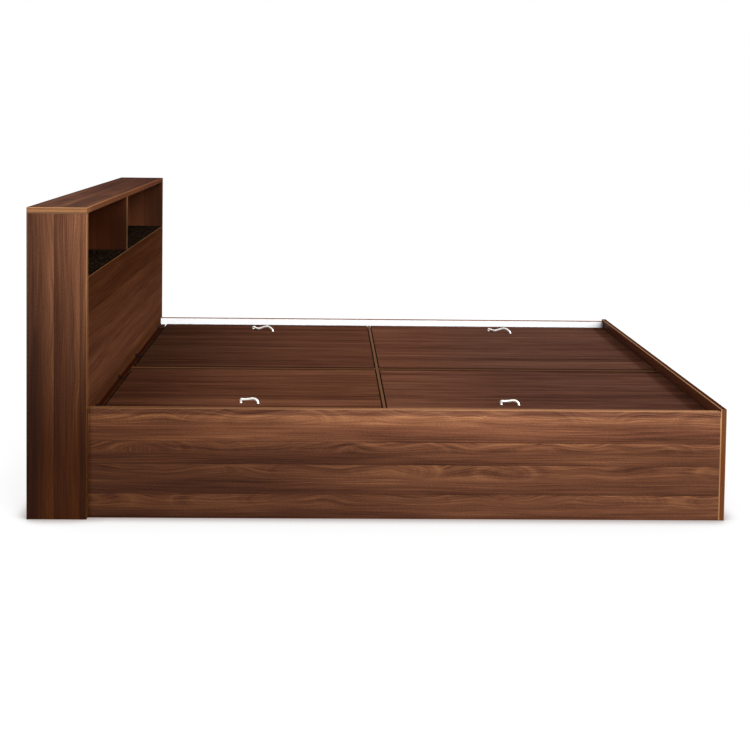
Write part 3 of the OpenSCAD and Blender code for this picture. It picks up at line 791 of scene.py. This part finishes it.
# Corner angles: heights on the rails and on the partition, and from the corner to a hole
ANGLE_HEIGHTS = (100 * MM, 220 * MM)
PARTITION_ANGLE_HEIGHT = 150 * MM
ANGLE_HOLE = 24 * MM
# Angles over the head rail: their places, their two legs and the way in to the screw
GAP_ANGLES_Y = (-665 * MM, -263 * MM, 97 * MM, 665 * MM)
GAP_LEGS = (18 * MM, 10 * MM)
GAP_SCREW = 11 * MM
# Bolts between the head rail and the headboard
BOLTS_Y = (-620 * MM, -250 * MM, 110 * MM, 620 * MM)
BOLT_HEIGHT = 180 * MM
# Cams: from a board's end to the disc, heights in the rails, and ways in from the back
CAM_REACH = 34 * MM
CAM_HEIGHTS = (100 * MM, 240 * MM)
CAM_STEPS = (60 * MM, 130 * MM)


def corner_places(at):
    """Inner corners that hold an angle: (corner point, way along X, way along Y)."""
    rails = [((at.box, s * at.liner, z), 1, -s) for s in (-1, 1) for z in ANGLE_HEIGHTS]
    partitions = [((x, at.mid + s * at.mid_half, PARTITION_ANGLE_HEIGHT), way, s)
                  for s in (-1, 1) for x, way in ((at.box, 1), (at.foot, -1))]
    return rails + partitions


def batten_screw_places(at):
    """Heads of the batten screws, as (point, outward way), set out as the boards' holes are."""
    z, batten = at.rest - at.batten / 2, at.batten
    found = []
    for low, high in ((at.box, at.cross - at.cross_half), (at.cross + at.cross_half, at.foot)):
        for share in (0.12, 0.5, 0.88):
            x = low + (high - low) * share
            for s in (-1, 1):
                found.append(((x, s * (at.liner - batten), z), (0, -s, 0)))
                found.append(((x, at.mid + s * (at.mid_half + batten), z), (0, s, 0)))
    for low, high in ((-at.liner, at.mid - at.mid_half), (at.mid + at.mid_half, at.liner)):
        for share in (0.25, 0.75):
            y = low + (high - low) * share
            found += [((x, y, z), (s, 0, 0)) for x, s in (
                (at.cross - at.cross_half - batten, -1), (at.cross + at.cross_half + batten, 1),
                (at.box + batten, 1), (at.foot - batten, -1))]
    return found


# Middle lines of the wave handles over the deck, in millimetres: along, across, up
WAVES = {
    "near": [(-28.5, 0, 0), (-28.5, 0, 6.5), (-26.5, 0, 11), (-18, 0, 10.5), (-4, 0, 11.5),
             (10, -1, 13.5), (19, -3, 12.5), (26.5, -6, 7), (28.5, -7, 0)],
    "far": [(-45, 32, 0), (-45.5, 32, 5), (-42, 29, 9), (-25, 7, 6.5), (-6, 3, 11),
            (12, -2, 17.5), (26, -6, 17), (40, -14, 8), (44, -18, 0)],
}
WIRE_STEPS, WIRE_SIDES = 14, 28
FOOT_REACH = 1.6 * MM
HANDLE_CENTRES = {"near_head": (-422.5, -605), "near_foot": (440.5, -605),
                  "far_head": (-448.5, 632), "far_foot": (595.5, 632)}


# ---------- board looks

# Faces that look one way, as fades name them. The note behind a fade says where it darkens, and
# says so where that is painted light or shade
NEAR, FAR, UP, TO_FOOT, TO_HEAD = (Y, -1), (Y, 1), (Z, 1), (X, 1), (X, -1)
# Gloss of the outer boards, square on and at a flat angle
DULL = (0.08, 0.001)
# Painted shade on the top of a partition's faces, down in the gaps between the panels
PARTITION_TOP_PAINTED_SHADE = [(Z, 12 * MM, 0.25)]
# Bare fibre on the rear of the headboard's back board, as fibre_mottle takes it
REAR_FIBRE = ((9.0, 600.0, 150.0), (0.45, 0.7, 0.6), 0.66, 1.3)
# Painted shadow in a soft strip beside the footboard, with painted light right at the footboard
# against the lamps' own shadow there, and painted shade in a band along the near rail, beside the
# near handle row, lifted again nearest the rail
FOOTBOARD_PAINTED_SHADOW = ((X, 1.042, 1.018, (0.66, 0.58, 0.53)), (X, 1.082, 1.06, (1.4, 1.55, 1.65)))
RAIL_PAINTED_SHADE = ((Y, -0.655, -0.625, (0.62, 0.57, 0.56)), (Y, -0.705, -0.675, (1.5, 1.6, 1.6)))
# Each deck panel's seed, shade and fades: first the slow drift along the bed. Shade and drift are
# partly the panel's own tone and partly painted light and shade
DECK_TONES = {
    "near_head": (1.15, (0.65, 0.64, 0.69), (X, -0.9, -0.4, (0.46, 0.43, 0.41)), *RAIL_PAINTED_SHADE),
    "near_foot": (4.8, (0.7, 0.72, 0.84), (X, 0.6, 0.05, (0.68, 0.7, 0.81)), *FOOTBOARD_PAINTED_SHADOW),
    "far_head": (8.35, (0.475, 0.47, 0.55), (X, -1.0, -0.2, (0.43, 0.44, 0.4))),
    "far_foot": (2.6, (0.6, 0.6, 0.72), (X, 0.5, 0.1, (0.84, 0.94, 1.06)), *FOOTBOARD_PAINTED_SHADOW)}


# ---------- operators

class Undoable:
    """What the operators share"""

    bl_options = {"REGISTER", "UNDO"}


class BED_OT_upright_boards(Undoable, bpy.types.Operator):
    """Walnut laminate with upright grain on the headboard's sides and divider"""

    bl_idname = "bed.upright_boards"
    bl_label = "Upright boards"

    def execute(self, context):
        walnut("headboard_side_near", Z, Y, 3.35, figure=0.3, lean=0.3, sheen=DULL,
               seams=(-1.178, -1.098, -1.018, -0.938, -0.858), shade=(1.04, 1.09, 1.16),
               band=(0.62, 0.6, 0.62), arris=0.72, fades=[
                   (Z, 0.15, 1.15, (0.19, 0.113, 0.038)),  # painted shade, darker to the floor
                   (X, -1.1, -1.0, (0.82, 0.83, 0.83), NEAR),  # painted shade, darker to the back
                   (X, -1.1025, -1.0985, (0.5, 0.42, 0.36), NEAR),  # back edge
                   (Z, 0.9605, 0.9585, (0.55, 0.5, 0.52), NEAR)])  # upper edge
        walnut("headboard_side_far", Z, Y, 8.1, strip=0.062, figure=0.5, contrast=0.4,
               sheen=DULL, shade=(0.93, 0.76, 0.6), band=(0.3, 0.22, 0.18), arris=0.25, fades=[
                   (Z, 0.86, 0.955, (0.68, 0.7, 0.74), NEAR),  # painted light in the compartment, less of it toward the shelf
                   (X, -0.93, -1.04, (0.36, 0.36, 0.38), NEAR),  # painted light in the compartment, less of it toward the front
                   (Y, 0.798, 0.788, (1.09, 1.26, 1.38), FAR)])  # outer face, kept at its own tone apart from the compartment's painted light
        walnut("headboard_divider", Z, Y, 1.7, strip=0.062, figure=0.5, contrast=0.3,
               sheen=DULL, shade=(0.71, 0.466, 0.277), band=(0.46, 0.39, 0.33), arris=0.42, fades=[
                   (Z, 0.85, 0.955, (0.5, 0.5, 0.5)),  # painted light in the compartment, less of it toward the shelf
                   (Z, 0.766, 0.769, (0.45, 0.4, 0.35), NEAR),  # at the shelf
                   (X, -0.925, -1.04, (0.38, 0.38, 0.4), NEAR)])  # painted light in the compartment, less of it toward the front
        return {"FINISHED"}


class BED_OT_cross_boards(Undoable, bpy.types.Operator):
    """Walnut laminate with grain across on the headboard's top and front, foot and head rail"""

    bl_idname = "bed.cross_boards"
    bl_label = "Cross boards"

    def execute(self, context):
        walnut("headboard_top", Y, Z, 2.2, shade=(0.7, 0.72, 0.78), figure=0.3, contrast=0.8,
               bold=0.4, sheen=DULL, band=(0.84, 0.92, 1.09), arris=0.84, fades=[
                   (Y, 0.4, -0.9, (0.56, 0.44, 0.38)),  # painted shade, darker to the far end
                   (X, -1.097, -1.09, (0.5, 0.42, 0.38), UP),  # back edge
                   (Y, 0.79, 0.68, (0.45, 0.3, 0.24), UP),  # painted shadow along the far edge
                   (Z, 0.972, 0.9735, (1.35, 1.46, 1.45), NEAR),  # end band paler below
                   (Z, 0.9645, 0.966, (0.3, 0.3, 0.36), NEAR),  # painted shadow line along the end band's lower rim
                   (Y, -0.7, -0.8, (0.72, 0.6, 0.52), TO_FOOT),  # front band past its end
                   (Y, 0.5, 0.1, (0.8, 0.7, 0.7), TO_FOOT),  # to the far side
                   (Y, -0.3, 0.2, (0.72, 0.67, 0.68), TO_FOOT),  # to the near side
                   (Z, 0.9645, 0.966, (0.55, 0.5, 0.46), TO_FOOT)])  # painted shadow line along the lower rim
        walnut("headboard_front", Y, X, 6.6, shade=(0.5, 0.47, 0.46), figure=0.2,
               contrast=0.58, bold=0.1, sheen=(0.08, 0.0), band=(0.62, 0.55, 0.5), arris=0.6,
               fades=[(Z, 0.75, 0.4, (0.577, 0.51, 0.4)),  # painted shade, darker to the top
                      (Z, 0.351, 0.391, (0.77, 0.74, 0.62))])  # painted shade, darker down at the deck
        walnut("footboard", Y, X, 4.45, shade=(0.58, 0.46, 0.47), rough=0.28,
               sheen=(0.1, 0.008), figure=0.4, contrast=0.7, band=(0.44, 0.33, 0.25),
               arris=0.85, fades=[
                   (X, 1.0925, 1.0895, (0.3, 0.25, 0.22), UP),  # top band's outer half
                   (X, 1.1018, 1.1, (0.45, 0.4, 0.35), NEAR),  # end band's outer edge
                   (Z, 0.3, 0.16, (1.25, 1.4, 1.5), NEAR),  # end band paler above
                   (Y, 0.6, -0.7, (0.8, 0.8, 0.85), TO_HEAD)])  # painted light on the inner face, less of it to the far side
        # Painted shade: a dark band on top and a darkened top rim, for the shade in the gap at the
        # head
        walnut("head_rail", Y, X, 9.2, plain=True, band=(0.24, 0.13, 0.09),
               rims=[(Z, 20 * MM, 0.15)])
        return {"FINISHED"}


class BED_OT_long_boards(Undoable, bpy.types.Operator):
    """Walnut laminate with grain along the bed on the side rails and the partitions"""

    bl_idname = "bed.long_boards"
    bl_label = "Long boards"

    def execute(self, context):
        walnut("side_rail_near", X, Y, 0.12, shade=(1.42, 1.4, 1.46), contrast=1.15,
               seams=RAIL_SEAMS, sheen=DULL, band=(0.85, 0.95, 1.3), fades=[
                   (X, -1.0, 0.5, (0.4, 0.35, 0.3)),  # painted shade, darker to the headboard
                   (Z, 0.19, 0.33, (0.46, 0.44, 0.43)),  # darker to the floor, partly the print's top strip and partly painted shade
                   (Z, 0.322, 0.285, (1.28, 1.4, 1.35), NEAR),  # paler to the top
                   (Z, 0.333, 0.327, (0.52, 0.48, 0.55), NEAR),  # top edge
                   (X, -0.916, -0.898, (0.6, 0.55, 0.5)),  # painted shade where the rail meets the headboard
                   (Z, 0.0, 0.012, (0.7, 0.62, 0.58))])  # painted shade where the rail stands on the floor
        walnut("side_rail_far", X, Y, 5.62, seams=RAIL_SEAMS, band=(0.5, 0.4, 0.3), arris=0.3)
        # Painted shade: the partitions' dark bands, dim arris lines and darkened top rims stand for
        # the shade down in the gaps between the panels
        walnut("centre_partition", X, Y, 7.3, band=(0.33, 0.31, 0.31), arris=0.17, rims=PARTITION_TOP_PAINTED_SHADE)
        for row, seed in (("near", 2.9), ("far", 6.1)):
            walnut(f"cross_partition_{row}", Y, X, seed, band=(0.45, 0.45, 0.62), arris=0.22,
                   rims=PARTITION_TOP_PAINTED_SHADE)
        return {"FINISHED"}


class BED_OT_deck_panels(Undoable, bpy.types.Operator):
    """Walnut laminate with grain along the bed on the four lift-out panels, darker than the rails,
    partly the panels' own tone and partly painted shade
    """

    bl_idname = "bed.deck_panels"
    bl_label = "Deck panels"

    def execute(self, context):
        for lid, (seed, shade, *fades) in DECK_TONES.items():
            # Painted shade: the dark bands and darkened rims of the panels stand for the shade in
            # the gaps between them and along the rails
            walnut(f"deck_{lid}", X, Z, seed, shade=shade, fades=fades, figure=0.25,
                   contrast=0.68, bold=0.5, rough=0.32, strip=0.11, sheen=(0.1, 0.0), plain=True,
                   band=(0.25, 0.22, 0.2), rims=[(X, 2.5 * MM, 0.6), (Y, 9 * MM, 0.4)])
        return {"FINISHED"}


class BED_OT_headboard_inside(Undoable, bpy.types.Operator):
    """Fibre board and the speckled shelf sheet inside the headboard"""

    bl_idname = "bed.headboard_inside"
    bl_label = "Inside of the headboard"

    def execute(self, context):
        dress_all(("headboard_floor_board", "headboard_ribs", "headboard_shelf"),
                  pressed_fibre("fibre_board_inside"))
        walnut("headboard_back", Z, X, 5.4, shade=(0.5, 0.37, 0.26), contrast=0.4, sheen=DULL,
               plain=True, rear=REAR_FIBRE)
        dress("shelf_sheet", speckled_laminate("speckled_shelf"), arris=False)
        return {"FINISHED"}


class BED_OT_white_sheets(Undoable, bpy.types.Operator):
    """White laminate inside the rails and on the storage floors"""

    bl_idname = "bed.white_sheets"
    bl_label = "White sheets"

    def execute(self, context):
        dress_all(("rail_liner_near", "rail_liner_far"),
                  white_laminate("white_liner", brown_top=True), arris=False)
        dress_all([f"base_{lid}" for lid in LIDS], white_laminate("white_laminate"), arris=False)
        return {"FINISHED"}


class BED_OT_battens(Undoable, bpy.types.Operator):
    """Sawn softwood battens and dowels"""

    bl_idname = "bed.battens"
    bl_label = "Battens and dowels"

    def execute(self, context):
        along = sawn_softwood("softwood_along", X)
        dress_all(("side_battens", "centre_battens", "base_battens"), along)
        dress_all(("cross_battens", "foot_battens"), sawn_softwood("softwood_across", Y))
        # Painted shade: the head battens are darkened nearly to black, for the shade in the gap at
        # the head
        dress("head_battens", sawn_softwood("softwood_painted_shade", Y, stain_and_painted_shade=0.02))
        dress("dowels", along, arris=False)
        return {"FINISHED"}


class BED_OT_wave_handles(Undoable, bpy.types.Operator):
    """Bright wave handles bent from round wire, standing on the panels"""

    bl_idname = "bed.wave_handles"
    bl_label = "Wave handles"

    def execute(self, context):
        sizes = context.scene.bed_hardware
        metal = plated_metal("bright_plating", context.scene.bed_finishes.bright, 0.3,
                             (0.97, 0.96, 0.93), metallic=0.4)
        deck = layout().deck
        for lid in LIDS:
            path = smooth_path(np.array(WAVES[lid.split("_")[0]]) * MM, WIRE_STEPS)
            path += np.array([*(v * MM for v in HANDLE_CENTRES[lid]), deck])
            run = np.concatenate([[0], np.cumsum(np.linalg.norm(np.diff(path, axis=0), axis=1))])
            foot = np.minimum(run, run[-1] - run)
            radii = sizes.wire / 2 + sizes.foot_flare * np.exp(-(foot / FOOT_REACH) ** 2)
            rings = swept_wire(path, radii, WIRE_SIDES, (0, 0, 1), (0, 0, -1))
            mesh_piece(f"wave_handle_{lid}", [capped_tube(rings)], metal, f"lid_{lid}",
                       f"handle_{lid}", smooth_angle=50)
        return {"FINISHED"}


class BED_OT_steel_angles(Undoable, bpy.types.Operator):
    """Black steel angles in the corners of the box and over the head rail"""

    bl_idname = "bed.steel_angles"
    bl_label = "Steel angles"

    def execute(self, context):
        sizes, at = context.scene.bed_hardware, layout()
        black = powder_coat("black_powder_coat")
        section = sizes.angle_thickness, sizes.angle_width
        corner = [bent_strap(sizes.angle_leg, sizes.angle_leg, *section, point,
                             (way_x, 0, 0), (0, way_y, 0))
                  for point, way_x, way_y in corner_places(at)]
        gap = [bent_strap(*GAP_LEGS, *section, (at.front, y, at.head_rail),
                          (1, 0, 0), (0, 0, 1)) for y in GAP_ANGLES_Y]
        for kind, straps in (("corner", corner), ("gap", gap)):
            mesh_piece(f"{kind}_angle_straps", [capped_tube(s) for s in straps], black,
                       "bed_frame", f"{kind}_angles")
        return {"FINISHED"}


class BED_OT_screws(Undoable, bpy.types.Operator):
    """Cross-head screws of the angles, battens and handles"""

    bl_idname = "bed.screws"
    bl_label = "Screws"

    def execute(self, context):
        at = layout()
        zinc = plated_metal("zinc_plating", context.scene.bed_finishes.zinc, 0.34,
                            (1.0, 0.93, 0.78))
        black = bpy.data.materials["black_powder_coat"]
        thickness = context.scene.bed_hardware.angle_thickness
        stand = PAN_HEIGHT + thickness
        corner = []
        for (x, y, z), way_x, way_y in corner_places(at):
            corner += [((x + way_x * stand, y + way_y * ANGLE_HOLE, z), (way_x, 0, 0)),
                       ((x + way_x * ANGLE_HOLE, y + way_y * stand, z), (0, way_y, 0))]
        gap_top = at.head_rail + thickness + GAP_HEIGHT
        gap = [((at.front + GAP_SCREW, y, gap_top), (0, 0, 1)) for y in GAP_ANGLES_Y]
        for kind, places, metal, slot in (("corner", corner, zinc, "zinc_steel"),
                                          ("batten", batten_screw_places(at), zinc, "zinc_steel"),
                                          ("gap", gap, black, "black_steel")):
            screws_piece(f"{kind}_screw_heads", wood_screw(kind), places, metal, "bed_frame",
                         f"{kind}_screws")
        for lid in LIDS:
            wave, (cx, cy) = WAVES[lid.split("_")[0]], HANDLE_CENTRES[lid]
            feet = [(((cx + dx) * MM, (cy + dy) * MM, at.rest - PAN_HEIGHT), (0, 0, -1))
                    for dx, dy, _ in (wave[0], wave[-1])]
            screws_piece(f"handle_screw_heads_{lid}", wood_screw("handle"), feet, zinc,
                         f"lid_{lid}", f"screws_{lid}")
        return {"FINISHED"}


class BED_OT_joining_fittings(Undoable, bpy.types.Operator):
    """Cam discs, cam bolts, and the bolts and nuts between headboard and box"""

    bl_idname = "bed.joining_fittings"
    bl_label = "Joining fittings"

    def execute(self, context):
        at = layout()
        zinc = bpy.data.materials["zinc_plating"]
        dress_all(("cam_bolts", "joining_nuts"), zinc, arris=False)
        discs = [((at.foot - CAM_REACH, s * at.liner, z), (0, -s, 0))
                 for s in (-1, 1) for z in CAM_HEIGHTS]
        discs += [((at.back + dx, s * (at.out - CAM_REACH), at.shelf_under), (0, 0, -1))
                  for s in (-1, 1) for dx in CAM_STEPS]
        cam = fastener(CAM_FACE, *CAM_CROSS, CAM_SIDE)
        screws_piece("cam_disc_faces", cam, discs, zinc, "bed_frame", "cam_discs")
        bolt = fastener(BOLT_HEAD, *BOLT_CROSS, BOLT_SHANK)
        bolts = [((at.box + BOLT_HEAD_HEIGHT, y, BOLT_HEIGHT), (1, 0, 0)) for y in BOLTS_Y]
        screws_piece("joining_bolt_heads", bolt, bolts, zinc, "bed_frame",
                     "joining_bolts")
        return {"FINISHED"}


class BED_OT_studio(Undoable, bpy.types.Operator):
    """Pale floor, white surroundings, soft lamps and the camera"""

    bl_idname = "bed.studio"
    bl_label = "Studio"

    def execute(self, context):
        studio = context.scene.bed_studio
        make_floor()
        make_world(studio.fill)
        make_lamps(studio)
        make_camera(studio)
        return {"FINISHED"}


FLOOR_RINGS = (0.0, 3.0, 7.0, 12.0)
FLOOR_SIDES = 64
# The floor's two shadows: how far they reach, where they are full and gone, and their colour
FLOOR_SHADOWS = ((0.07, 0.45, 0.98, (178, 168, 166)), (0.45, 0.3, 0.95, (238, 236, 236)))


def make_floor():
    """A round floor, its points at each radius times the turn's cosine and sine. Seen directly
    it is white with the soft dark line where the bed stands on it and a trace of the lamps'
    shadows; for the bed's own light it is mid grey."""
    ring = np.array(FLOOR_RINGS)[:, None]
    turn = (np.arange(FLOOR_SIDES) * 2 * np.pi / FLOOR_SIDES)[None, :]
    points = np.stack([ring * np.cos(turn), ring * np.sin(turn), 0 * ring * turn], axis=-1)
    mesh = bpy.data.meshes.new("studio_floor")
    mesh.from_pydata(points.reshape(-1, 3).tolist(), [],
                     tube_faces(len(FLOOR_RINGS), FLOOR_SIDES).tolist())
    add_object("studio_floor", mesh)

    material = bpy.data.materials.new("studio_floor")
    mesh.materials.append(material)
    w = Wiring(empty_tree(material))
    path = w.node("ShaderNodeLightPath").outputs
    seen = w.math("MAXIMUM", path["Is Camera Ray"],
                  w.math("MAXIMUM", path["Is Glossy Ray"], path["Is Transmission Ray"]))
    shadows = []
    for reach, full, gone, rgb in FLOOR_SHADOWS:
        clear = w.node("ShaderNodeAmbientOcclusion", {"Distance": reach}, samples=8).outputs["AO"]
        shadows.append(w.mix(w.step(clear, full, gone), tone(*rgb), (1, 1, 1)))
    glow = w.node("ShaderNodeEmission", {"Color": w.mix(1.0, *shadows, "MULTIPLY"),
                                         "Strength": 0.95}).outputs[0]
    lit, grey = (w.node("ShaderNodeBsdfDiffuse", {"Color": (v, v, v, 1)}).outputs[0]
                 for v in (0.09, 0.22))
    white = w.node("ShaderNodeAddShader", {0: glow, 1: lit}).outputs[0]
    both = w.node("ShaderNodeMixShader", {0: seen, 1: grey, 2: white}).outputs[0]
    w.node("ShaderNodeOutputMaterial", {"Surface": both})


def make_world(fill):
    """White where it is seen directly and, in reflections, along the horizon; a soft grey fill
    for matt surfaces, and a dim sky over the horizon's white in reflections."""
    world = bpy.data.worlds.new("studio")
    bpy.context.scene.world = world
    w = Wiring(empty_tree(world))
    path = w.node("ShaderNodeLightPath").outputs
    height = w.split(w.node("ShaderNodeTexCoord").outputs["Generated"])[2]
    mirrored = w.math("MAXIMUM", path["Is Glossy Ray"], path["Is Transmission Ray"])
    sky = w.remap(height, 0.02, 0.12, 1.0, 0.14)
    strength = w.add(w.times(mirrored, sky), w.times(w.minus(1.0, mirrored), fill))
    strength = w.math("MAXIMUM", strength, path["Is Camera Ray"])
    light = w.node("ShaderNodeBackground", {"Color": (1, 1, 1, 1), "Strength": strength}).outputs[0]
    w.node("ShaderNodeOutputWorld", {"Surface": light})


def make_lamps(studio):
    """Three wide, far lamps. Each shines evenly over the bed from the way it is given."""
    for name, strength, width, source in (
            ("key_lamp", studio.key, 50, (0.42, -0.72, 0.55)),
            ("side_lamp", studio.side, 34, (0.93, -0.1, 0.36)),
            ("back_lamp", studio.back, 60, (-0.55, 0.65, 0.5))):
        light = bpy.data.lights.new(name, "SUN")
        light.energy, light.angle = strength, math.radians(width)
        turn = Vector(source).to_track_quat("Z", "Y")
        add_object(name, light).rotation_euler = turn.to_euler()


# The photograph's camera: where it stands, its turn to the foot, down and round, in degrees,
# and the shift of its frame, which keeps upright lines upright
CAMERA_X, CAMERA_Y = -0.1741, -4.29438
CAMERA_TURNS = (1.2745, 2.5649, 0.7264)
CAMERA_SHIFT = (0.03, -0.28)
SENSOR_WIDTH = 36.0


def make_camera(studio):
    """The camera of the photograph."""
    data = bpy.data.cameras.new("camera")
    data.lens, data.sensor_width = studio.lens, SENSOR_WIDTH
    data.shift_x, data.shift_y = CAMERA_SHIFT
    camera = add_object("camera", data)
    yaw, pitch, roll = (math.radians(v) for v in CAMERA_TURNS)
    ahead = Vector((math.sin(yaw) * math.cos(pitch), math.cos(yaw) * math.cos(pitch),
                    -math.sin(pitch)))
    level = Vector((math.cos(yaw), -math.sin(yaw), 0.0))
    up = level.cross(ahead)
    right = level * math.cos(roll) + up * math.sin(roll)
    top = up * math.cos(roll) - level * math.sin(roll)
    turn = Matrix((right, top, -ahead)).transposed().to_4x4()
    place = Matrix.Translation((CAMERA_X, CAMERA_Y, studio.camera_height))
    camera.matrix_world = place @ turn
    bpy.context.scene.camera = camera
    bpy.context.scene.view_settings.view_transform = "Standard"


# ---------- panel

OPERATORS = (BED_OT_upright_boards, BED_OT_cross_boards, BED_OT_long_boards, BED_OT_deck_panels,
             BED_OT_headboard_inside, BED_OT_white_sheets, BED_OT_battens, BED_OT_wave_handles,
             BED_OT_steel_angles, BED_OT_screws, BED_OT_joining_fittings, BED_OT_studio)
GROUPS = {"bed_finishes": BedFinishes, "bed_hardware": BedHardware, "bed_studio": BedStudio}


class BED_PT_panel(bpy.types.Panel):
    """Lists the bed's operators and settings"""

    bl_idname = "BED_PT_panel"
    bl_label = "Platform bed"
    bl_space_type = "VIEW_3D"
    bl_region_type = "UI"
    bl_category = "Platform Bed"

    def draw(self, context):
        for kind in OPERATORS:
            self.layout.operator(kind.bl_idname)
        for key in GROUPS:
            box, group = self.layout.box(), getattr(context.scene, key)
            for name in group.__annotations__:
                box.prop(group, name)


def register():
    for kind in (*GROUPS.values(), *OPERATORS, BED_PT_panel):
        bpy.utils.register_class(kind)
    for name, kind in GROUPS.items():
        setattr(bpy.types.Scene, name, PointerProperty(type=kind))


def unregister():
    for name in GROUPS:
        delattr(bpy.types.Scene, name)
    for kind in (BED_PT_panel, *reversed(OPERATORS), *GROUPS.values()):
        bpy.utils.unregister_class(kind)


def main():
    register()
    for kind in OPERATORS:
        family, name = kind.bl_idname.split(".")
        getattr(getattr(bpy.ops, family), name)()


if __name__ == "__main__":
    main()
